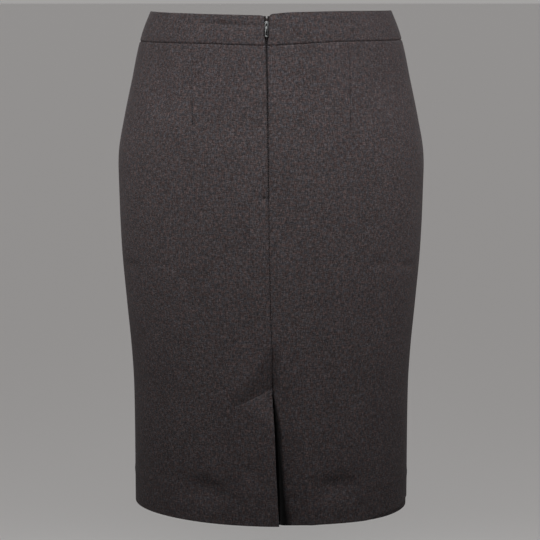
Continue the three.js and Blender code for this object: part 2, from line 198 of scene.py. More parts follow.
def hem_drop(turn):
    """The hem's drop at a turn. Round the right side seam it sags."""
    level = lerp(SIDE_HEM_DROP, BACK_HEM_DROP, np.abs(np.sin(turn)))
    return level + RIGHT_HEM_SAG * (1 - smooth(np.abs(turn - math.pi), *HEM_SAG_TURNS))


def panel_drop(row, turn):
    """Rows follow the band at the top, run level, and then follow the hem."""
    top = seam_drop(turn) + SEAM_GAP / 2 - BAND_HEIGHT
    drop = row + top * (1 - smooth(row, BAND_HEIGHT, LEVEL_FROM))
    like_the_hem = smooth(row, VENT_DROP, LIKE_THE_HEM_FROM)
    return lerp(drop, hem_drop(turn) - (BACK_HEM_DROP - row), like_the_hem)


def lines(*sets):
    """Where the lattice lines lie: all the sets in order, with none twice."""
    return np.unique(np.round(np.concatenate(sets), 6))


PANEL_ROWS = lines(
    BAND_HEIGHT + EDGE_STEPS, PLAIN_ROWS, SIDE_DENT_ROWS,
    BACK_HEM_DROP - HEM_TURN_UP + np.array([-HEM_TURN_STEP, 0, HEM_TURN_STEP]),
    BACK_HEM_DROP - HEM_STRIP_ROWS, BACK_HEM_DROP - EDGE_STEPS,
)


def half_turns(drop, hand, depth, distances, centre=0.0):
    """The turns of a half's columns, from the centre to a side seam. Hand -1 is left.
    Near the centre they keep their distances from it, and past those they fan out."""
    seam_steps = EDGE_STEPS[::-1][:, None]
    count = len(distances)
    near = turn_at(centre + hand * distances[:, None], drop[:count])
    at_seam = turn_from_seam(SEAM_GAP / 2 + seam_steps, drop[count + BETWEEN_COLUMNS:], depth)
    seam = at_seam if hand < 0 else math.pi - at_seam
    share = (np.arange(BETWEEN_COLUMNS)[:, None] + 1) / (BETWEEN_COLUMNS + 1)
    middle = lerp(near[-1], seam[0], share)
    return np.concatenate([near, middle, seam])


def seam_rolled(from_edge):
    """How far the cloth's face turns in towards a seam."""
    return SEAM_ROLL * np.clip(1 - from_edge / SEAM_ROLL_REACH, 0, 1) ** 2


def folded(from_edge, wall):
    """How far both faces of a folded edge round in, over half of its thickness."""
    radius = wall / 2
    short = radius - np.clip(from_edge, 0, radius)
    return FOLD_ROUNDNESS * (radius - np.sqrt(np.maximum(radius**2 - short**2, 0)))


def darted(from_dart, drop):
    """A dart: its stitched line is a groove, and its pressed layers lift the inner side.
    From_dart is measured away from the centre, so the layers lie at less than 0."""
    fading = 1 - smooth(drop, DART_END - DART_FADE, DART_END)
    pulled = 1 + np.exp(-(((drop - DART_TIP) / DART_TIP_REACH) ** 2))
    groove = DART_GROOVE * pulled * np.exp(-((from_dart / DART_GROOVE_WIDTH) ** 2))
    width = DART_LAYERS_WIDTH * fading + DART_LAYERS_LEAST
    on_layers = smooth(from_dart, -width - DART_RIDGE_SOFT, -width)
    layers = DART_RIDGE * on_layers * (1 - smooth(from_dart, -DART_RIDGE_EDGE, 0))
    return (layers - groove) * smooth(DART_END - drop, 0, DART_CLOSING)


MARK_COLUMNS = "x drop wide high lean lift"
UNEVEN_LIFT = 0.00013


def pressed(x, drop, marks):
    """Soft troughs and ridges. Lean turns a mark's width from level, in degrees."""
    total = np.zeros_like(x)
    for mark in marks:
        lean = math.radians(mark["lean"])
        across, down = x - mark["x"], drop - mark["drop"]
        along = (across * math.cos(lean) + down * math.sin(lean)) / mark["wide"]
        aside = (down * math.cos(lean) - across * math.sin(lean)) / mark["high"]
        total += mark["lift"] * np.exp(-(along**2) - aside**2)
    return total


def uneven(seed, count=70):
    """Faint dents and swells that any filled-out cloth has, strewn over a half."""
    rng = np.random.default_rng(seed)
    ranges = ((-0.17, 0.17), (0.05, 0.58), (0.008, 0.022), (0.012, 0.040), (-30, 30))
    draws = [rng.uniform(low, high, count) for low, high in ranges]
    draws.append(rng.normal(0, UNEVEN_LIFT, count))
    return table(MARK_COLUMNS, list(zip(*draws)))


def hem_wall(row):
    """One layer of cloth, and two along the turned-up hem."""
    turn_top = BACK_HEM_DROP - HEM_TURN_UP
    return lerp(ONE_LAYER, TWO_LAYERS, smooth(row, turn_top - HEM_TURN_STEP, turn_top))


def hem_imprint(row):
    """The soft ridge that the top of the turned-up hem presses into the cloth."""
    return HEM_IMPRINT * np.exp(-(((row - BACK_HEM_DROP + HEM_TURN_UP) / HEM_IMPRINT_WIDTH) ** 2))


def hem_strip(turn, from_hem):
    """How far the outer layer's face steps in near the right side seam, where it ends
    short and the turned-up layer shows below it."""
    angle = np.abs(turn - math.pi)
    height = sum(rise * (1 - smooth(angle, low, high)) for rise, low, high in HEM_STRIP_HEIGHTS)
    stepped = 1 - smooth(from_hem, height - HEM_STRIP_EDGE, height + HEM_STRIP_EDGE)
    return HEM_STRIP_STEP * stepped * smooth(height, *HEM_STRIP_START)


def layer(turn, drop, lift, wall, left_out=None):
    """The points and faces of one closed layer of cloth, laid flat: turn, drop and lift
    stand for x, y and z. Columns follow the turn, and rows go down."""
    columns, rows = turn.shape
    number = np.arange(columns * rows).reshape(columns, rows)
    faces = np.stack([number[:-1, :-1], number[:-1, 1:], number[1:, 1:], number[1:, :-1]], -1)
    kept = np.ones((columns - 1, rows - 1), bool) if left_out is None else ~left_out
    faces = faces[kept]
    edges = np.concatenate([faces[:, [k, (k + 1) % 4]] for k in range(4)])
    there = edges[:, 0] * number.size + edges[:, 1]
    back = edges[:, 1] * number.size + edges[:, 0]
    rim = edges[~np.isin(back, there)]
    rim_faces = np.stack([rim[:, 1], rim[:, 0], rim[:, 0], rim[:, 1]], -1)
    rim_faces[:, 2:] += number.size
    faces = np.concatenate([faces, faces[:, ::-1] + number.size, rim_faces])
    outer = np.stack([turn, drop, lift], -1).reshape(-1, 3)
    inner = np.stack([turn, drop, lift - wall], -1).reshape(-1, 3)
    used, faces = np.unique(faces, return_inverse=True)
    return np.concatenate([outer, inner])[used], faces.reshape(-1, 4)


def panel(turn, drop, lift, wall, roll, fold, left_out=None):
    """A layer whose outer face rolls in at its seams, and whose folded edges are round."""
    return layer(turn, drop, lift - roll - fold, wall - roll - 2 * fold, left_out)


def edge_distances(turn, drop, depth):
    """How far the cloth lies from its side seam, its top edge and its lower edge."""
    from_side = np.abs(np.sin(turn)) * depth - SEAM_GAP / 2
    return from_side, drop - drop[:, :1], drop[:, -1:] - drop


def cloth(name, *layers):
    """A piece of cloth as a flat mesh. Its UV map is the flat cloth in metres, and its
    depth is how far each point lies off the form; the suiting darkens deep points with painted shade."""
    points, faces, count = [], [], 0
    for layer_points, layer_faces in layers:
        points.append(layer_points)
        faces.append(layer_faces + count)
        count += len(layer_points)
    points, faces = np.concatenate(points), np.concatenate(faces)
    mesh = bpy.data.meshes.new(name)
    mesh.from_pydata(points.tolist(), [], faces.tolist())
    flat = points[:, :2] * (MEAN_GIRTH_RADIUS, 1)
    mesh.uv_layers.new(name="UVMap").data.foreach_set("uv", flat[faces].ravel())
    depth = mesh.attributes.new("depth", "FLOAT", "POINT")
    depth.data.foreach_set("value", points[:, 2])
    return mesh


def allowance(turns, rows, width, marks, start=0.0003):
    """A seam allowance or a dart's fold, pressed flat inside: turns(distance, drop) gives
    the turn at a distance from its seam, and width(drop) how wide it is."""
    shares = ALLOWANCE_SHARES[:, None]
    drop = np.tile(rows, (len(shares), 1))
    distance = lerp(start, width(drop), shares)
    turn = turns(distance, drop)
    x = form_x(turn, drop)
    curl = ALLOWANCE_CURL * shares**2 * (0.6 + 0.4 * np.sin(drop * 90 + turn))
    lift = pressed(x, drop, marks) - ONE_LAYER - SEAM_GAP - curl
    order = slice(None, None, 1 if turn[0, 0] < turn[-1, 0] else -1)
    return layer(turn[order], drop[order], lift[order], np.full_like(drop, ALLOWANCE_CLOTH))


def core(turn, drop):
    """The narrow strip inside a seam where its two sides are stitched together."""
    lift = np.full_like(drop, SEAM_CORE_LIFT)
    return layer(turn, drop, lift, np.full_like(drop, SEAM_CORE_CLOTH))


def side_core(hand):
    """The core of a side seam, from the waist to the hem."""
    seam_turn = 0 if hand < 0 else math.pi
    drop = np.tile(SEAM_CORE_ROWS, (len(SEAM_CORE_STEPS), 1))
    drop = drop * hem_drop(seam_turn) / SIDE_HEM_DROP
    steps = SEAM_CORE_STEPS[:, None]
    away = np.sign(steps) * turn_from_seam(np.abs(steps), drop, "back")
    return core(away + seam_turn, drop)


def step(tree, kind, given=None, **settings):
    """Adds a node to a tree. Given holds a socket or a value for each input it names."""
    node = tree.nodes.new(kind)
    for setting, value in settings.items():
        setattr(node, setting, value)
    for key, value in (given or {}).items():
        if isinstance(value, bpy.types.NodeSocket):
            tree.links.new(value, node.inputs[key])
        else:
            node.inputs[key].default_value = value
    return node


class Number:
    """A number that a tree works out. Arithmetic on it adds Math nodes."""

    def __init__(self, tree, socket):
        self.tree = tree
        self.socket = socket

    def maths(self, operation, other=None):
        given = {0: self.socket}
        if other is not None:
            given[1] = getattr(other, "socket", other)
        node = step(self.tree, "ShaderNodeMath", given, operation=operation)
        return Number(self.tree, node.outputs[0])

    def __add__(self, other):
        return self.maths("ADD", other)

    def __sub__(self, other):
        return self.maths("SUBTRACT", other)

    def __mul__(self, other):
        return self.maths("MULTIPLY", other)

    def __pow__(self, other):
        return self.maths("POWER", other)


def new_tree(name, inputs, outputs):
    """An empty tree with its named sockets, each given as (name, kind) and a default."""
    tree = bpy.data.node_groups.new(name, "GeometryNodeTree")
    for way, sockets in (("INPUT", inputs), ("OUTPUT", outputs)):
        for label, kind, *default in sockets:
            item = tree.interface.new_socket(label, in_out=way, socket_type="NodeSocket" + kind)
            if default:
                item.default_value = default[0]
    given = tree.nodes.new("NodeGroupInput").outputs
    return tree, given, tree.nodes.new("NodeGroupOutput").inputs


def ring_curve(tree, drop, column, scale=1.0):
    """A column of the rings as a curve of the drop."""
    node = step(tree, "ShaderNodeFloatCurve", {"Value": (drop * (1 / BACK_HEM_DROP)).socket})
    curve = node.mapping.curves[0]
    shares = np.linspace(0, 1, 67)
    heights = ring(shares * BACK_HEM_DROP, column) * scale
    curve.points[0].location = (0, heights[0])
    curve.points[1].location = (1, heights[-1])
    for share, height in zip(shares[1:-1], heights[1:-1]):
        curve.points.new(share, height)
    node.mapping.update()
    return Number(tree, node.outputs[0])


# A tree that gives a point of the skirt's form from its turn and its drop.
form_tree, given, wanted = new_tree(
    "skirt_form",
    [("Turn", "Float"), ("Drop", "Float"), ("Waist height", "Float", TOP_Z)],
    [("Position", "Vector")],
)
turn_in, drop_in = (Number(form_tree, given[key]) for key in ("Turn", "Drop"))
sides = {}
for axis, wave, size in (("x", "COSINE", "side"), ("y", "SINE", "back")):
    part = turn_in.maths(wave)
    roundness = ring_curve(form_tree, drop_in, "power", 0.5) ** -1.0
    reach = ring_curve(form_tree, drop_in, size)
    if axis == "y":
        front_reach = ring_curve(form_tree, drop_in, "front")
        reach = front_reach + (reach - front_reach) * part.maths("GREATER_THAN", 0.0)
    sides[axis] = part.maths("SIGN") * part.maths("ABSOLUTE") ** roundness * reach * -1.0
height = Number(form_tree, given["Waist height"]) - drop_in
point = step(
    form_tree, "ShaderNodeCombineXYZ",
    {"X": sides["x"].socket, "Y": sides["y"].socket, "Z": height.socket},
)
form_tree.links.new(point.outputs[0], wanted["Position"])

# A tree that also lifts the point off the form, and gives the directions there.
lift_tree, given, wanted = new_tree(
    "lifted_off_the_form",
    [("Flat", "Vector"), ("Waist height", "Float", TOP_Z)],
    [("Position", "Vector"), ("Outward", "Vector"), ("Around", "Vector")],
)


def vector(tree, operation, *values):
    """A Vector Math node's result."""
    return step(tree, "ShaderNodeVectorMath", dict(enumerate(values)), operation=operation).outputs[0]


def form_point(shift):
    """The form's point at the flat point, shifted by some turn and drop."""
    place = vector(lift_tree, "ADD", given["Flat"], (*shift, 0))
    flat = step(lift_tree, "ShaderNodeSeparateXYZ", {0: place}).outputs
    return step(
        lift_tree, "GeometryNodeGroup",
        {"Turn": flat["X"], "Drop": flat["Y"], "Waist height": given["Waist height"]},
        node_tree=form_tree,
    ).outputs["Position"]


TURN_NUDGE, DROP_NUDGE = 0.01, 0.001
around = vector(lift_tree, "SUBTRACT", form_point((TURN_NUDGE, 0)), form_point((-TURN_NUDGE, 0)))
down = vector(lift_tree, "SUBTRACT", form_point((0, DROP_NUDGE)), form_point((0, -DROP_NUDGE)))
outward = vector(lift_tree, "NORMALIZE", vector(lift_tree, "CROSS_PRODUCT", down, around))
flat = step(lift_tree, "ShaderNodeSeparateXYZ", {0: given["Flat"]}).outputs
raised = step(lift_tree, "ShaderNodeVectorMath", {0: outward, "Scale": flat["Z"]}, operation="SCALE")
place = vector(lift_tree, "ADD", form_point((0, 0)), raised.outputs[0])
for key, value in (("Position", place), ("Outward", outward), ("Around", around)):
    lift_tree.links.new(value, wanted[key])


def on_the_form(tree, given):
    """The place and the directions of a tree's flat points once they lie on the form."""
    flat = step(tree, "GeometryNodeInputPosition").outputs[0]
    sockets = {"Flat": flat, "Waist height": given["Waist height"]}
    return step(tree, "GeometryNodeGroup", sockets, node_tree=lift_tree).outputs


def end_tree(tree, geometry, material, wanted):
    """The end of a tree: its instances are made real and get their material."""
    real = step(tree, "GeometryNodeRealizeInstances", {"Geometry": geometry})
    dressed = step(
        tree, "GeometryNodeSetMaterial", {"Geometry": real.outputs[0], "Material": material},
    )
    tree.links.new(dressed.outputs[0], wanted["Geometry"])


# The tree that puts a flat piece of cloth round the skirt.
wrap_tree, given, wanted = new_tree(
    "cloth_round_the_skirt",
    [("Geometry", "Geometry"), ("Waist height", "Float", TOP_Z), ("Cloth", "Material")],
    [("Geometry", "Geometry")],
)
on_form = on_the_form(wrap_tree, given)
wrapped = step(
    wrap_tree, "GeometryNodeSetPosition",
    {"Geometry": given["Geometry"], "Position": on_form["Position"]},
)
shaded = step(wrap_tree, "GeometryNodeSetShadeSmooth", {"Geometry": wrapped.outputs[0]})
end_tree(wrap_tree, shaded.outputs[0], given["Cloth"], wanted)


def in_scene(name, data):
    obj = bpy.data.objects.new(name, data)
    bpy.context.scene.collection.objects.link(obj)
    return obj


def keep_shape(obj):
    """Makes the shape that an object's modifiers give its own mesh."""
    shape = obj.evaluated_get(bpy.context.evaluated_depsgraph_get())
    obj.data = bpy.data.meshes.new_from_object(shape)
    obj.modifiers.clear()


def made_by(tree, start, sizes):
    """Runs a tree on a mesh, with its named inputs, and keeps the result as a mesh."""
    obj = in_scene(start.name, start)
    modifier = obj.modifiers.new("making", "NODES")
    modifier.node_group = tree
    for item in tree.interface.items_tree:
        if item.in_out == "INPUT" and item.name in sizes:
            modifier[item.identifier] = sizes[item.name]
    keep_shape(obj)
    obj.data.name = start.name
    return obj


def sewn(flat, cloth_material):
    """A flat piece of cloth put round the skirt, with its rims kept crisp."""
    obj = made_by(wrap_tree, flat, {"Waist height": TOP_Z, "Cloth": cloth_material})
    obj.data.set_sharp_from_angle(angle=math.radians(50))
    return obj


def yarns(tree, uv, across, along, detail=2.0):
    """Streaks of yarn: noise drawn out along the thread. Sizes are in metres."""
    scaled = vector(tree, "MULTIPLY", uv, (1 / across, 1 / along, 1))
    return Number(tree, step(
        tree, "ShaderNodeTexNoise", {"Vector": scaled, "Scale": 1.0, "Detail": detail},
        noise_dimensions="2D",
    ).outputs[0])


def colour_ramp(tree, value, *stops):
    """A colour for each value, from stops of a position and three channels."""
    ramp = step(tree, "ShaderNodeValToRGB", {0: value.socket})
    elements = ramp.color_ramp.elements
    while len(elements) < len(stops):
        elements.new(0.5)
    for element, (position, *channels) in zip(elements, stops):
        element.position = position
        element.color = (*channels, 1)
    return ramp.outputs[0]


def new_finish(name):
    """An empty material, with its tree and its shader."""
    material = bpy.data.materials.new(name)
    material.use_nodes = True
    tree = material.node_tree
    return material, tree, tree.nodes["Principled BSDF"]


def raised(tree, shader, height, strength, distance):
    """Lets the light catch a fine relief of some height."""
    given = {"Height": height.socket, "Strength": strength, "Distance": distance}
    tree.links.new(step(tree, "ShaderNodeBump", given).outputs[0], shader.inputs["Normal"])


# The cloth's greys: a place on the mixed yarns, and a share of the tone or of each channel.
# Where the cloth lies deep off the form, as in the vent's fold, its colour is darkened to a share of
# its grey: painted shade for the light that the fold traps.
GREY_STOPS = ((0.325, 0.36), (0.455, 0.90), (0.595, 2.30))
TINT_STOPS = ((0.32, 1.11, 0.965, 0.93), (0.5, 1.0, 1.0, 1.0), (0.68, 0.91, 1.01, 1.09))
PAINTED_FOLD_SHADE_FROM = -0.0125
PAINTED_FOLD_SHADE_TO = -0.0185
PAINTED_FOLD_SHADE = 0.06
SHEEN_TINT = (0.80, 0.76, 0.78, 1)


def suiting(name, tone):
    """Fine plain-woven wool suiting, spun from light, dark, warm and cool grey fibres, with painted
    shade darkening it deep in folds.
    """
    material, tree, shader = new_finish(name)
    uv = step(tree, "ShaderNodeUVMap", uv_map="UVMap").outputs[0]
    warp = yarns(tree, uv, 0.0008, 0.0046)
    weft = yarns(tree, uv, 0.0039, 0.0008)
    fleck = yarns(tree, uv, 0.0012, 0.0013)
    slubs = yarns(tree, uv, 0.0017, 0.016) + yarns(tree, uv, 0.014, 0.0017)
    cloud = yarns(tree, uv, 0.030, 0.045)
    value = (warp + weft) * 0.28 + fleck * 0.13 + slubs * 0.105 + cloud * 0.03
    greys = colour_ramp(tree, value, *(
        (position, *(share * channel for channel in tone)) for position, share in GREY_STOPS
    ))
    tints = colour_ramp(tree, yarns(tree, uv, 0.0034, 0.0042, 1.0), *TINT_STOPS)
    # Painted shade: the colour darkens where the cloth lies deep off the form, in the vent's fold.
    depth = step(tree, "ShaderNodeAttribute", attribute_name="depth").outputs["Fac"]
    painted_fold_shade = step(
        tree, "ShaderNodeMapRange",
        {0: depth, 1: PAINTED_FOLD_SHADE_FROM, 2: PAINTED_FOLD_SHADE_TO, 3: 1.0, 4: PAINTED_FOLD_SHADE},
        interpolation_type="SMOOTHSTEP",
    ).outputs[0]
    dyed_greys = vector(tree, "MULTIPLY", greys, tints)
    colour = step(
        tree, "ShaderNodeVectorMath", {0: dyed_greys, "Scale": painted_fold_shade}, operation="SCALE",
    ).outputs[0]
    tree.links.new(colour, shader.inputs["Base Color"])
    raised(tree, shader, (warp + weft) * 0.5 + fleck * 0.5, 0.30, 0.0004)
    shader.inputs["Roughness"].default_value = 0.88
    shader.inputs["Specular IOR Level"].default_value = 0.04
    shader.inputs["Sheen Weight"].default_value = 0.025
    shader.inputs["Sheen Roughness"].default_value = 0.45
    shader.inputs["Sheen Tint"].default_value = SHEEN_TINT
    return material


SUITING_TONE = (0.0232, 0.0193, 0.0197)
charcoal_suiting = suiting("charcoal_suiting", SUITING_TONE)

FRONT_MARKS = table(MARK_COLUMNS, [
    (-0.060, 0.110, 0.045, 0.060, 0, 0.0012),
    (0.062, 0.115, 0.045, 0.060, 0, 0.0012),
    (-0.085, 0.545, 0.028, 0.009, 8, -0.0012),
    (0.070, 0.548, 0.024, 0.008, -6, -0.0010),
    (0.010, 0.330, 0.090, 0.016, 4, -0.0006),
    (-0.020, 0.372, 0.070, 0.014, -5, -0.0005),
    (0.115, 0.285, 0.030, 0.010, -12, -0.0006),
    (-0.118, 0.290, 0.030, 0.010, 12, -0.0006),
])

front_distances = lines(np.arange(0, CENTRE_HALF, COLUMN_STEP), FRONT_DART + DART_STEPS)
half_count = len(front_distances) + BETWEEN_COLUMNS + len(EDGE_STEPS)


def front_turns(drop):
    """The front's columns, from the right side seam across to the left one."""
    right = half_turns(drop[:half_count][::-1], 1, "front", front_distances)[::-1]
    left = half_turns(drop[half_count - 1:], -1, "front", front_distances)
    return 2 * math.pi - np.concatenate([right, left[1:]])


front_rows = np.tile(PANEL_ROWS, (2 * half_count - 1, 1))
front_drop = panel_drop(front_rows, front_turns(front_rows))
front_turn = front_turns(front_drop)
front_x = form_x(front_turn, front_drop)
from_side = ring(front_drop, "front") * np.abs(np.sin(front_turn))
from_top = front_drop - front_drop[:, :1]
from_hem = front_drop[:, -1:] - front_drop
front_wall = hem_wall(front_rows)
front_roll = np.maximum(seam_rolled(from_side), seam_rolled(from_top))
front_fold = folded(from_hem, front_wall)
front_marks = np.concatenate([FRONT_MARKS, uneven(11)])
front_lift = pressed(front_x, front_drop, front_marks)
front_lift += darted(np.abs(front_x) - FRONT_DART, front_drop)
front_lift += hem_imprint(front_rows) - hem_strip(front_turn, from_hem)


def side_seam(hand, depth):
    """Turns at a distance from a side seam, into the back or the front."""
    way = 1 if depth == "back" else -1
    start = 0 if hand < 0 else math.pi
    return lambda distance, drop: start - hand * way * turn_from_seam(distance, drop, depth)


def front_dart(hand):
    """Turns at a distance from a dart's line towards the centre front."""
    return lambda distance, drop: 2 * math.pi - turn_at(hand * (FRONT_DART - distance), drop)


def seam_width(drop):
    return np.full_like(drop, ALLOWANCE)


def dart_width(drop):
    return 0.003 + DART_LAYERS_WIDTH * (1 - smooth(drop, DART_END - 0.095, DART_END))


front_body = panel(front_turn, front_drop, front_lift, front_wall, front_roll, front_fold)
front_inside = [
    allowance(side_seam(hand, "front"), SEAM_ROWS, seam_width, front_marks) for hand in (-1, 1)
] + [
    allowance(front_dart(hand), DART_FOLD_ROWS, dart_width, front_marks) for hand in (-1, 1)
]
flat_front = cloth("skirt_front", front_body, *front_inside, side_core(-1), side_core(1))
skirt_front = sewn(flat_front, charcoal_suiting)
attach(skirt_front, "skirt")
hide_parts("front_panel")


# The skirt's back, left half. It has a waist dart, is sewn to the right half below the
# zip, and under its diagonal ledge it is the vent's upper flap, faced with a second layer.
ZIP_END_DROP = 0.204
VENT_WIDTH = 0.040
VENT_SLOPE = 0.45
CENTRE_BACK = table("drop x gap", [
    (0.000, -0.0051, 0.0054),
    (0.027, -0.0052, 0.0054),
    (0.034, -0.0053, 0.0026),
    (0.050, -0.0052, 0.0020),
    (0.085, -0.0042, 0.0019),
    (0.112, -0.0039, 0.0018),
    (0.128, -0.0037, 0.0012),
    (0.198, -0.0031, 0.0010),
    (0.206, -0.0031, SEAM_GAP),
    (0.276, -0.0021, SEAM_GAP),
    (0.339, -0.0007, SEAM_GAP),
    (0.395, 0.0015, SEAM_GAP),
    (0.440, 0.0017, SEAM_GAP),
    (0.481, 0.0041, SEAM_GAP),
    (0.531, 0.0060, SEAM_GAP),
    (0.594, 0.0095, SEAM_GAP),
])
FLAP_LIFT = table("drop lift", [
    (0.433, 0.0000),
    (0.480, 0.0016),
    (0.540, 0.0024),
    (0.594, 0.0010),
])
FLAP_LIFT_REACH = 0.035
LEFT_DART = 0.0848
RIGHT_DART = 0.0932
VALLEY_DEPTH = 0.0140
VALLEY_ABOVE = 0.058
VALLEY_BELOW = 0.042
VALLEY_SOFT = 0.08
VALLEY_WIDTH = 0.043
LEDGE_LIFT = 0.0017
LEDGE_FADES_BELOW = (0.002, 0.030)
LEDGE_FADES_INWARD = (0.024, 0.037)
CENTRE_SEAM_ROWS = np.arange(0.214, 0.386, 0.007)
DRAG_PITCH = 0.0028
DRAG_WIDTH = 0.0008
DRAG_LIFT = 0.0005
DRAG_LENGTHS = (0.015, 0.013, 0.011)
DRAG_FADES_FROM = 0.006
SLANT_ENDS = 0.10
SLANT_REACH = (0.012, 0.09)
BACK_ROWS = lines(
    PANEL_ROWS, VENT_DROP + np.array([-0.0020, -0.0012, -0.0006, -0.0002, 0, 0.0003, 0.0007]),
    VENT_DROP + np.arange(0.0012, 0.0110, 0.0005),
)

BACK_MARKS = table(MARK_COLUMNS, [
    (-0.122, 0.128, 0.022, 0.020, 0, 0.0020),
    (0.124, 0.128, 0.022, 0.020, 0, 0.0020),
    (-0.128, 0.088, 0.013, 0.034, 0, -0.0034),
    (0.130, 0.088, 0.013, 0.034, 0, -0.0030),
    (-0.076, 0.554, 0.023, 0.013, 6, -0.0066),
    (0.078, 0.550, 0.023, 0.013, -6, -0.0068),
    (-0.022, 0.530, 0.009, 0.012, 0, -0.0022),
    (-0.008, 0.208, 0.009, 0.007, 10, -0.0018),
    (-0.162, 0.296, 0.007, 0.006, 0, -0.0016),
    (0.162, 0.296, 0.007, 0.006, 0, -0.0016),
    (-0.126, 0.290, 0.015, 0.006, 0, -0.0008),
    (0.122, 0.290, 0.015, 0.006, 0, -0.0008),
    (0.030, 0.245, 0.018, 0.030, 12, -0.0010),
    (-0.036, 0.424, 0.014, 0.030, 25, 0.0036),
])


def centre_x(drop):
    return np.interp(drop, CENTRE_BACK["drop"], CENTRE_BACK["x"])


def centre_gap(drop):
    return np.interp(drop, CENTRE_BACK["drop"], CENTRE_BACK["gap"])


def ledge_drop(inward):
    """The drop of the vent's slanting top edge."""
    return VENT_DROP + VENT_SLOPE * np.maximum(inward, 0)


def valley(below, inward):
    """How deep the cloth sinks round the inner end of the ledge. It slopes evenly from a
    line slanting up to the centre, and rises again on the flap."""
    height = np.where(below < 0, VALLEY_ABOVE, VALLEY_BELOW)
    inside = np.clip(1 - np.abs(below) / height - inward / VALLEY_WIDTH, 0, 1)
    return VALLEY_DEPTH * (inside - VALLEY_SOFT * (1 - np.exp(-inside / VALLEY_SOFT)))


def back_half(hand, dart, near, slope=0.0):
    """The lattice of a back half from the centre to its side seam: rows, turns, drops.
    Near the vent's top its rows slant with the ledge."""
    distances = lines(near, np.arange(0.0175, CENTRE_HALF, COLUMN_STEP), dart + DART_STEPS)
    columns = len(distances) + BETWEEN_COLUMNS + len(EDGE_STEPS)
    rows = np.tile(BACK_ROWS, (columns, 1))
    reach = np.concatenate([distances, np.ones(columns - len(distances))])[:, None]
    slant = slope * reach * (1 - smooth(reach, VENT_WIDTH, SLANT_ENDS))
    slant = slant * (1 - smooth(np.abs(rows - VENT_DROP), *SLANT_REACH))

    def turns(drop):
        edge = (centre_x(drop) + hand * centre_gap(drop) / 2)[:len(distances)]
        return half_turns(drop, hand, "back", distances, edge)

    drop = panel_drop(rows, turns(rows)) + slant
    return rows, turns(drop), drop


LEFT_NEAR = lines(EDGE_STEPS, np.arange(0.0034, 0.016, 0.0013))
left_rows, left_turn, left_drop = (
    lattice[::-1] for lattice in back_half(-1, LEFT_DART, LEFT_NEAR, VENT_SLOPE)
)
left_x = form_x(left_turn, left_drop)
inward = centre_x(left_drop) - centre_gap(left_drop) / 2 - left_x
below_ledge = left_drop - ledge_drop(inward)
on_vent = smooth(below_ledge, -0.0002, 0.0010)
facing = on_vent * (1 - smooth(inward, VENT_WIDTH - 0.001, VENT_WIDTH))
left_wall = np.maximum(hem_wall(left_rows), lerp(ONE_LAYER, TWO_LAYERS, facing))
left_lift = LEDGE_LIFT * facing * (1 - smooth(below_ledge, *LEDGE_FADES_BELOW))
left_lift *= 1 - smooth(inward, *LEDGE_FADES_INWARD)
left_lift -= valley(below_ledge, inward)
for number, length in enumerate(DRAG_LENGTHS, 1):
    drag = np.exp(-(((below_ledge - number * DRAG_PITCH) / DRAG_WIDTH) ** 2))
    left_lift += DRAG_LIFT * drag * (1 - smooth(inward, DRAG_FADES_FROM, length))
edge_lift = np.interp(left_drop, FLAP_LIFT["drop"], FLAP_LIFT["lift"])
left_lift += edge_lift * (1 - smooth(inward, 0, FLAP_LIFT_REACH))
left_marks = np.concatenate([BACK_MARKS, uneven(23)])
left_lift += pressed(left_x, left_drop, left_marks)
left_lift += darted(inward - LEFT_DART, left_drop) + hem_imprint(left_rows)

from_side, from_top, from_hem = edge_distances(left_turn, left_drop, ring(left_drop, "back"))
centre_roll = seam_rolled(inward) * (1 - on_vent)
left_roll = np.maximum.reduce([seam_rolled(from_side), seam_rolled(from_top), centre_roll])
left_fold = np.maximum(folded(from_hem, left_wall), folded(inward, left_wall) * on_vent)


def back_dart(hand, dart):
    """Turns at a distance from a back dart's line towards the centre back."""
    return lambda distance, drop: turn_at(centre_x(drop) + hand * (dart - distance), drop)


def centre_seam(hand):
    """Turns at a distance from the centre back seam."""
    return lambda distance, drop: turn_at(centre_x(drop) + hand * distance, drop)


def back_inside(hand, dart, marks):
    """What lies inside a back half: two seam allowances and the dart's fold."""
    return [
        allowance(side_seam(hand, "back"), SEAM_ROWS, seam_width, marks),
        allowance(back_dart(hand, dart), DART_FOLD_ROWS, dart_width, marks),
        allowance(centre_seam(hand), CENTRE_SEAM_ROWS, seam_width, marks),
    ]


left_body = panel(left_turn, left_drop, left_lift, left_wall, left_roll, left_fold)
flat_left = cloth("skirt_back_left", left_body, *back_inside(-1, LEFT_DART, left_marks))
skirt_back_left = sewn(flat_left, charcoal_suiting)
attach(skirt_back_left, "skirt")
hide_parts("back_left_panel")


# The skirt's back, right half, cut in one with the vent's underlap. Above the vent it is
# sewn to the left half. Down the vent it rolls in behind the flap, and opens a deep fold, dark from
# real shade and from painted shade in the suiting.
UNDERLAP = table("drop dip flat reach", [
    (0.375, 0.0000, 0.0000, 0.0130),
    (0.390, 0.0025, 0.0000, 0.0150),
    (0.410, 0.0072, 0.0000, 0.0150),
    (0.433, 0.0128, 0.0000, 0.0110),
    (0.445, 0.0155, 0.0008, 0.0070),
    (0.457, 0.0175, 0.0018, 0.0074),
    (0.486, 0.0200, 0.0032, 0.0088),
    (0.514, 0.0220, 0.0044, 0.0098),
    (0.543, 0.0220, 0.0052, 0.0104),
    (0.571, 0.0190, 0.0048, 0.0108),
    (0.594, 0.0120, 0.0040, 0.0110),
])
HEM_FOLLOW = 0.22
HEM_FOLLOW_FROM = 0.56
SWING = 0.021
SWING_FROM = 0.42
SWING_OVER = 0.17
SWING_BEND = 1.5
OPENS_ABOVE = 0.005
OPENS_BELOW = 0.020
LAP_GAP = 0.0050
LAP_COMES_BACK = (0.004, 0.030)
PRESS_LINE = 0.036
PRESS_LIFT = 0.0009
PRESS_EDGE = 0.0008
PRESS_WIDTH = 0.012
PRESS_STARTS = (0.50, 0.53)

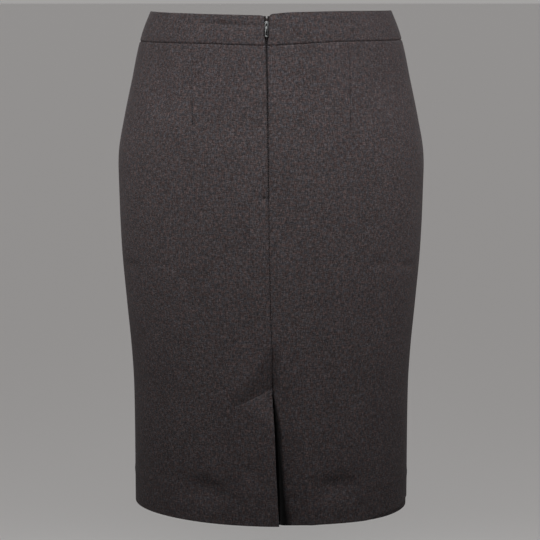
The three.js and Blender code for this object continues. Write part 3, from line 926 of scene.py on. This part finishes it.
RIGHT_NEAR = lines(EDGE_STEPS, np.arange(0.0027, 0.0112, 0.0005), [0.0125, 0.0140, 0.0158])
right_rows, right_turn, right_drop = back_half(1, RIGHT_DART, RIGHT_NEAR)
reaches = lines(VENT_WIDTH - EDGE_STEPS, np.arange(0.002, VENT_WIDTH - 0.003, 0.002))[::-1]
lap_rows = np.tile(BACK_ROWS, (len(reaches), 1))
lap_share = np.clip((lap_rows - VENT_DROP) / (BACK_HEM_DROP - VENT_DROP), 0, 1)
lap_drop = right_drop[:1] + VENT_SLOPE * reaches[:, None] * (1 - lap_share)
lap_edge = centre_x(lap_drop) + centre_gap(lap_drop) / 2
lap_turn = turn_at(lap_edge - reaches[:, None], lap_drop)
right_rows = np.concatenate([lap_rows, right_rows])
right_turn = np.concatenate([lap_turn, right_turn])
right_drop = np.concatenate([lap_drop, right_drop])
right_x = form_x(right_turn, right_drop)
outward_of_edge = right_x - centre_x(right_drop) - centre_gap(right_drop) / 2

dip, flat, reach = (
    np.interp(right_drop, UNDERLAP["drop"], UNDERLAP[name]) for name in ("dip", "flat", "reach")
)
share = np.clip((reach - outward_of_edge) / (reach - flat), 0, 1)
rolled_in = 1 - np.sqrt(1 - share**2)
below_vent = smooth(right_drop, VENT_DROP - OPENS_ABOVE, VENT_DROP + OPENS_BELOW)
rolled_in = lerp(smooth(share, 0, 1), rolled_in, below_vent)
right_lift = -dip * rolled_in
from_press = np.clip(outward_of_edge / PRESS_LINE, 0, 1)
swung = np.clip((right_drop - SWING_FROM) / SWING_OVER, 0, 1)
right_lift -= SWING * (1 - from_press**SWING_BEND) * swung
lap_reach = np.maximum(-outward_of_edge, 0)
on_flap = -valley(right_drop - ledge_drop(lap_reach), lap_reach) - LAP_GAP
lap_lift = lerp(right_lift, on_flap, smooth(lap_reach, *LAP_COMES_BACK))
behind_flap = smooth(lap_reach, 0, 0.003)
behind_flap *= smooth(right_rows, VENT_DROP - 0.0001, VENT_DROP + 0.012)
right_lift = lerp(right_lift, np.minimum(lap_lift, on_flap), behind_flap)
follow = HEM_FOLLOW * smooth(right_rows, HEM_FOLLOW_FROM, BACK_HEM_DROP)
right_drop = right_drop - follow * right_lift
on_press = smooth(outward_of_edge, PRESS_LINE - PRESS_EDGE, PRESS_LINE + PRESS_EDGE)
on_press *= 1 - smooth(outward_of_edge, PRESS_LINE, PRESS_LINE + PRESS_WIDTH)
right_lift += PRESS_LIFT * on_press * smooth(right_drop, *PRESS_STARTS)
right_marks = np.concatenate([BACK_MARKS, uneven(37)])
right_lift += pressed(right_x, right_drop, right_marks)
right_lift += darted(outward_of_edge - RIGHT_DART, right_drop) + hem_imprint(right_rows)
right_lift -= hem_strip(right_turn, right_drop[:, -1:] - right_drop)

lap_columns = len(reaches)
right_wall = hem_wall(right_rows)
from_side, from_top, from_hem = edge_distances(right_turn, right_drop, ring(right_drop, "back"))
from_top[:lap_columns] = 1
centre_roll = seam_rolled(np.maximum(outward_of_edge, 0)) * (1 - below_vent)
right_roll = np.maximum.reduce([seam_rolled(from_side), seam_rolled(from_top), centre_roll])
right_fold = np.maximum(
    folded(from_hem, right_wall), folded(VENT_WIDTH + outward_of_edge, right_wall)
)
vent_row = int(np.searchsorted(BACK_ROWS, VENT_DROP))
no_lap = np.zeros((right_turn.shape[0] - 1, right_turn.shape[1] - 1), bool)
no_lap[:lap_columns, :vent_row] = True
right_body = panel(
    right_turn, right_drop, right_lift, right_wall, right_roll, right_fold, no_lap,
)
flat_right = cloth("skirt_back_right", right_body, *back_inside(1, RIGHT_DART, right_marks))
skirt_back_right = sewn(flat_right, charcoal_suiting)
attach(skirt_back_right, "skirt")
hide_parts("back_right_panel")


# The waistband: a folded strip of the same suiting, stiffened and made double, in one
# front piece and two back pieces that end in a rounded corner at the zip.
BAND_CORNER = 0.004
BAND_PUFF = 0.0005
BAND_UNEVENNESS = 0.6
BAND_SHARES = np.concatenate([
    EDGE_STEPS / BAND_HEIGHT, np.arange(0.09, 0.92, 0.04), 1 - EDGE_STEPS[::-1] / BAND_HEIGHT,
])
BAND_MARKS = table(MARK_COLUMNS, [
    (-0.040, 0.0150, 0.030, 0.0034, 3, -0.0026),
    (0.078, 0.0120, 0.012, 0.0034, -3, -0.0012),
    (-0.020, 0.021, 0.014, 0.010, 0, 0.0003),
    (0.020, 0.020, 0.016, 0.010, 0, 0.0003),
])


def band(name, turns, columns, marks, seed, from_zip=None):
    """A band piece from its columns' turns, which turns(drop) gives."""
    shares = np.tile(BAND_SHARES, (columns, 1))
    turn = turns(np.full_like(shares, BAND_HEIGHT / 2))
    corner = 0
    if from_zip is not None:
        short = np.clip(BAND_CORNER - from_zip, 0, BAND_CORNER)[:, None]
        corner = BAND_CORNER - np.sqrt(BAND_CORNER**2 - short**2)
    drop = lerp(band_edge(turn, "top") + corner, seam_drop(turn) - SEAM_GAP / 2, shares)
    turn = turns(drop)
    x = form_x(turn, drop)
    depth = np.where(np.sin(turn) > 0, ring(drop, "back"), ring(drop, "front"))
    from_side, from_top, from_seam = edge_distances(turn, drop, depth)
    wall = np.full_like(drop, TWO_LAYERS)
    fold = folded(from_top, wall)
    if from_zip is not None:
        fold = np.maximum(fold, folded(np.tile(from_zip[:, None], (1, len(BAND_SHARES))), wall))
    roll = np.maximum(seam_rolled(from_side), seam_rolled(from_seam))
    puff = BAND_PUFF * np.sin(math.pi * np.clip(shares, 0, 1))
    lift = puff + pressed(x, drop, marks) + BAND_UNEVENNESS * pressed(x, drop, uneven(seed))
    body = panel(turn, drop, lift, wall + puff, roll, fold)
    core_drop = seam_drop(turn[:, :1]) + SEAM_CORE_STEPS
    return sewn(cloth(name, body, core(turns(core_drop), core_drop)), charcoal_suiting)


def back_band(name, hand, seed):
    """Half of the back's band, from the zip to a side seam."""
    distances = lines(
        EDGE_STEPS, [0.003, 0.004, 0.005, 0.006], np.arange(0.008, CENTRE_HALF, 2 * COLUMN_STEP),
    )
    columns = len(distances) + BETWEEN_COLUMNS + len(EDGE_STEPS)
    from_zip = np.concatenate([distances, np.full(columns - len(distances), 1.0)])
    order = slice(None, None, hand)

    def turns(drop):
        drop = drop[order]
        edge = (centre_x(drop) + hand * centre_gap(drop) / 2)[:len(distances)]
        return half_turns(drop, hand, "back", distances, edge)[order]

    return band(name, turns, columns, BAND_MARKS, seed, from_zip[order])


band_front = band("band_front", front_turns, 2 * half_count - 1, BAND_MARKS[:0], 41)
band_back_left = back_band("band_back_left", -1, 43)
band_back_right = back_band("band_back_right", 1, 47)
for piece, node, length in (
    (band_front, "waistband_front", 0.40),
    (band_back_left, "waistband_back_left", 0.195),
    (band_back_right, "waistband_back_right", 0.205),
):
    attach(piece, "skirt")
    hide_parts(node)


# The concealed zip. Two woven tapes lie inside the opening, with a nylon coil between
# them. A nickel-plated slider with an arched bridge sits at the top, its drop-shaped pull
# hangs on the bridge, and a clamped stop closes the foot.
# The tape's and coil's greys are near-black, darker than the cloth: their own dark colour, with
# painted shade for the deep, narrow gap of the opening.
TAPE_TONE_AND_PAINTED_SHADE = (0.0085, 0.0072, 0.0076)
COIL_TONE_AND_PAINTED_SHADE = (0.0040, 0.0036, 0.0038)
NICKEL = (0.055, 0.055, 0.055)
COIL_TOP = 0.0212
COIL_END = ZIP_END_DROP - 0.0043
COIL_LIFT = -0.0031
COIL_BEHIND_BAND = -0.0012
COIL_RISES = (0.039, 0.046)
COIL_PITCH = 0.0007
COIL_WIDTH = 0.0034
COIL_HEIGHT = -0.0006
COIL_THREAD = 0.00027
CAST_EDGE = 0.00022

# The tree that sews stitches along a line. A stitch is a short arc of thread.
stitch_tree, given, wanted = new_tree(
    "stitches_on_a_line",
    [
        ("Line", "Geometry"), ("Waist height", "Float", TOP_Z), ("Pitch", "Float", 0.003),
        ("Length", "Float", 0.002), ("Width", "Float", 0.0), ("Height", "Float", 0.0003),
        ("Thread", "Float", 0.0002), ("Yarn", "Material"),
    ],
    [("Geometry", "Geometry")],
)
on_form = on_the_form(stitch_tree, given)
kept_line = step(stitch_tree, "GeometryNodeCaptureAttribute")
kept_line.capture_items.new("VECTOR", "Outward")
stitch_tree.links.new(given["Line"], kept_line.inputs["Geometry"])
stitch_tree.links.new(on_form["Outward"], kept_line.inputs["Outward"])
moved = step(
    stitch_tree, "GeometryNodeSetPosition",
    {"Geometry": kept_line.outputs["Geometry"], "Position": on_form["Position"]},
)
curve = step(stitch_tree, "GeometryNodeMeshToCurve", {"Mesh": moved.outputs[0]})
dots = step(
    stitch_tree, "GeometryNodeResampleCurve",
    {"Curve": curve.outputs[0], "Length": given["Pitch"]}, mode="LENGTH",
)
turned = step(
    stitch_tree, "FunctionNodeAxesToRotation",
    {
        "Primary Axis": kept_line.outputs["Outward"],
        "Secondary Axis": step(stitch_tree, "GeometryNodeInputTangent").outputs[0],
    },
    primary_axis="Z", secondary_axis="X",
)
half_length = Number(stitch_tree, given["Length"]) * 0.5
half_width = Number(stitch_tree, given["Width"]) * 0.5
arc_ends = [
    step(
        stitch_tree, "ShaderNodeCombineXYZ",
        {"X": (half_length * sign).socket, "Y": (half_width * sign).socket},
    ).outputs[0]
    for sign in (-1.0, 1.0)
]
arc_top = step(
    stitch_tree, "ShaderNodeCombineXYZ", {"Z": (Number(stitch_tree, given["Height"]) * 2.0).socket},
)
arc = step(
    stitch_tree, "GeometryNodeCurveQuadraticBezier",
    {"Resolution": 5, "Start": arc_ends[0], "Middle": arc_top.outputs[0], "End": arc_ends[1]},
)
section = step(
    stitch_tree, "GeometryNodeCurvePrimitiveCircle", {"Resolution": 5, "Radius": given["Thread"]},
)
stitch = step(
    stitch_tree, "GeometryNodeCurveToMesh",
    {"Curve": arc.outputs[0], "Profile Curve": section.outputs[0], "Fill Caps": True},
)
placed = step(
    stitch_tree, "GeometryNodeInstanceOnPoints",
    {"Points": dots.outputs[0], "Instance": stitch.outputs[0], "Rotation": turned.outputs[0]},
)
end_tree(stitch_tree, placed.outputs[0], given["Yarn"], wanted)


def line_mesh(name, *paths):
    """Lines in flat coordinates. Each path holds its points' turns, drops and lifts."""
    points, edges = [], []
    for path in paths:
        rows = np.stack(np.broadcast_arrays(*path), -1)
        edges += [(len(points) + k, len(points) + k + 1) for k in range(len(rows) - 1)]
        points += rows.tolist()
    mesh = bpy.data.meshes.new(name)
    mesh.from_pydata(points, edges, [])
    return mesh


def grained(name, tone, grain, contrast, bump_depth, **values):
    """A finish with a fine grain, of some size in metres along X, Y and Z."""
    material, tree, shader = new_finish(name)
    place = step(tree, "ShaderNodeTexCoord").outputs["Object"]
    scaled = vector(tree, "MULTIPLY", place, tuple(1 / size for size in grain))
    noise = step(tree, "ShaderNodeTexNoise", {"Vector": scaled, "Scale": 1.0, "Detail": 3.0})
    value = Number(tree, noise.outputs[0])
    low, high = ([*(channel * (1 + sign * contrast) for channel in tone)] for sign in (-1, 1))
    tree.links.new(
        colour_ramp(tree, value, (0.35, *low), (0.65, *high)), shader.inputs["Base Color"],
    )
    raised(tree, shader, value, 0.4, bump_depth)
    for label, number in values.items():
        shader.inputs[label.replace("_", " ")].default_value = number
    return material


woven_tape = grained(
    "woven_tape", TAPE_TONE_AND_PAINTED_SHADE, (0.0006, 0.0006, 0.0003), 0.4, 0.0002, Roughness=0.85,
    Specular_IOR_Level=0.05,
)
nylon_coil = grained(
    "nylon_coil", COIL_TONE_AND_PAINTED_SHADE, (0.0015, 0.0015, 0.0015), 0.2, 0.00005, Roughness=0.45,
    Specular_IOR_Level=0.15,
)
nickel_plate = grained(
    "nickel_plate", NICKEL, (0.0012, 0.0004, 0.0012), 0.06, 0.00002, Metallic=1.0, Roughness=0.27,
)
for node in ("zip_tape_left", "zip_tape_right"):
    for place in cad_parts[node].material_slots:
        place.material = woven_tape

coil_drops = np.linspace(COIL_TOP, COIL_END, 60)
coil_turns = turn_at(centre_x(coil_drops), coil_drops)
coil_lifts = COIL_LIFT + COIL_BEHIND_BAND * (1 - smooth(coil_drops, *COIL_RISES))
zip_teeth = made_by(stitch_tree, line_mesh("zip_teeth", (coil_turns, coil_drops, coil_lifts)), {
    "Waist height": TOP_Z, "Pitch": COIL_PITCH, "Length": 0.0, "Width": COIL_WIDTH,
    "Height": COIL_HEIGHT, "Thread": COIL_THREAD, "Yarn": nylon_coil,
})
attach(zip_teeth, "skirt")
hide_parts("zip_coil")


def cast_part(name, node, body):
    """A metal part of the zip with its sharp edges rounded, as it comes from the mould."""
    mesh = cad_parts[node].data.copy()
    mesh.name = name
    shape = bmesh.new()
    shape.from_mesh(mesh)
    bmesh.ops.remove_doubles(shape, verts=shape.verts, dist=1e-6)
    bmesh.ops.dissolve_limit(
        shape, angle_limit=math.radians(2), verts=shape.verts, edges=shape.edges,
    )
    shape.to_mesh(mesh)
    shape.free()
    mesh.materials.clear()
    mesh.materials.append(nickel_plate)
    obj = in_scene(name, mesh)
    bevel = obj.modifiers.new("rounding", "BEVEL")
    bevel.width = CAST_EDGE
    bevel.segments = 2
    bevel.angle_limit = math.radians(35)
    keep_shape(obj)
    obj.data.shade_smooth()
    obj.data.set_sharp_from_angle(angle=math.radians(40))
    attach(obj, body)
    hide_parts(node)


cast_part("slider_and_bridge", "zip_slider", "skirt")
cast_part("drop_pull", "zip_pull", "pull_tab")
cast_part("bottom_stop", "zip_bottom_stop", "skirt")


# Sewing that shows as thread: overlocked edges inside, the hem's and the band's inner
# stitches, and the row that holds the vent's ledge. It is all in dark grey polyester.
THREAD_TONE = (0.030, 0.026, 0.028)
THREAD_RADIUS = 0.00018
grey_thread = grained(
    "grey_thread", THREAD_TONE, (0.0004, 0.0004, 0.0004), 0.3, 0.0001, Roughness=0.7,
    Specular_IOR_Level=0.1,
)


def thread(name, paths, pitch, length, width, height):
    """Stitches along some lines, as one piece."""
    obj = made_by(stitch_tree, line_mesh(name, *paths), {
        "Waist height": TOP_Z, "Pitch": pitch, "Length": length, "Width": width,
        "Height": height, "Thread": THREAD_RADIUS, "Yarn": grey_thread,
    })
    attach(obj, "skirt")


INSIDE = -(ONE_LAYER + SEAM_GAP + ALLOWANCE_CLOTH)
seam_edges = []
for hand in (-1, 1):
    for turns, rows in (
        (side_seam(hand, "back"), SEAM_ROWS), (side_seam(hand, "front"), SEAM_ROWS),
        (centre_seam(hand), CENTRE_SEAM_ROWS),
    ):
        turn = turns(np.full_like(rows, ALLOWANCE - 0.0018), rows)
        seam_edges.append((turn, rows, INSIDE - 0.0009))
thread("overlocked_seams", seam_edges, pitch=0.0024, length=0.0008, width=0.0036, height=-0.0003)

# The hem's stitches show in the front half. The band's stop at the zip and the side seams.
INNER_FACE = -TWO_LAYERS - 0.0001
ROUND_COUNT = 160
FRONT_START = 82
BAND_STRETCHES = ((2, 38), (43, 78), (FRONT_START, 158))
round_turns = np.linspace(0, 2 * math.pi, ROUND_COUNT)
hem_top = hem_drop(round_turns) - HEM_TURN_UP
around_hem = (round_turns[FRONT_START:], hem_top[FRONT_START:], INNER_FACE)
thread("hem_stitches", [around_hem], pitch=0.0060, length=0.0030, width=0.0020, height=-0.0003)
band_seam = seam_drop(round_turns) - 0.0020
inner_band = [
    (round_turns[low:high], band_seam[low:high], INNER_FACE) for low, high in BAND_STRETCHES
]
thread("band_stitches", inner_band, pitch=0.0032, length=0.0024, width=0.0, height=-0.0002)

LEDGE_STITCH = 0.0021
ledge_reach = np.linspace(0.0012, 0.031, 30)
ledge_line = ledge_drop(ledge_reach) + LEDGE_STITCH
ledge_turns = turn_at(centre_x(ledge_line) - ledge_reach, ledge_line)
ledge_path = (ledge_turns, ledge_line, LEDGE_LIFT - valley(LEDGE_STITCH, ledge_reach))
thread("ledge_stitches", [ledge_path], pitch=0.0026, length=0.0019, width=0.0, height=0.0002)


# The studio: a pale floor well below the hem, soft boxes above, before, behind and on both
# sides of the skirt, and the camera where the picture of the back was taken from.
FLOOR_Z = -1.05
FLOOR_HALF = 300.0
FLOOR_COLOUR = (0.76, 0.755, 0.75, 1)
AIR_COLOUR = (1.0, 0.975, 0.965, 1)
AIR_LIGHT = 0.37
COOL = (0.96, 1.0, 1.005)
WARM = (1.01, 0.96, 0.95)
CAMERA_PLACE = (-0.0013, -2.4, 0.0348)
CAMERA_PITCH = -7.7266
LENS_PIXELS = 2018.1
PICTURE_PIXELS = 540
SENSOR = 36

corners = [
    (x * FLOOR_HALF, y * FLOOR_HALF, FLOOR_Z) for x, y in ((-1, -1), (1, -1), (1, 1), (-1, 1))
]
floor_mesh = bpy.data.meshes.new("floor")
floor_mesh.from_pydata(corners, [], [(0, 1, 2, 3)])
floor = in_scene("floor", floor_mesh)
floor_paint, _, floor_shader = new_finish("floor_paint")
floor_shader.inputs["Base Color"].default_value = FLOOR_COLOUR
floor_shader.inputs["Roughness"].default_value = 0.9
floor_mesh.materials.append(floor_paint)

world = bpy.data.worlds.new("studio")
world.use_nodes = True
air = world.node_tree.nodes["Background"].inputs
air["Color"].default_value = AIR_COLOUR
air["Strength"].default_value = AIR_LIGHT
bpy.context.scene.world = world


def soft_box(name, place, target, size, power, spread, colour=COOL):
    """A soft box of some width and height, at a place and turned to a target. A grid on
    it keeps its light to a cone, which spread gives in degrees."""
    light = bpy.data.lights.new(name, "AREA")
    light.shape = "RECTANGLE"
    light.size, light.size_y = size
    light.energy = power
    light.color = colour
    light.spread = math.radians(spread)
    box = in_scene(name, light)
    box.location = place
    aim = [t - p for t, p in zip(target, place)]
    flat_length = math.hypot(aim[0], aim[1])
    box.rotation_euler = (math.atan2(flat_length, -aim[2]), 0, math.atan2(-aim[0], aim[1]))


soft_box("key", (0.0, -1.2, 1.6), (0, -0.1, -0.02), (1.2, 0.5), power=2.85, spread=24)
soft_box("front", (0.0, -1.5, 0.9), (0, -0.1, 0.04), (0.9, 0.5), power=0.76, spread=35)
for side in (-1, 1):
    soft_box(
        "front_side", (side * 1.1, -1.2, 0.7), (0, 0, -0.12), (0.6, 0.6),
        power=0.70, spread=33, colour=WARM,
    )
    soft_box(
        "side", (side * 1.4, -0.5, 0.1), (0, 0, -0.15), (0.4, 0.4),
        power=0.33, spread=25, colour=WARM,
    )
soft_box("behind", (0.0, 1.9, 1.2), (0, 0, -0.2), (1.2, 0.7), power=5.0, spread=60)

camera = in_scene("camera", bpy.data.cameras.new("camera"))
camera.location = CAMERA_PLACE
camera.rotation_euler = (math.radians(90 + CAMERA_PITCH), 0, 0)
camera.data.sensor_width = SENSOR
camera.data.lens = LENS_PIXELS / PICTURE_PIXELS * SENSOR
bpy.context.scene.camera = camera
bpy.context.scene.view_settings.view_transform = "Standard"
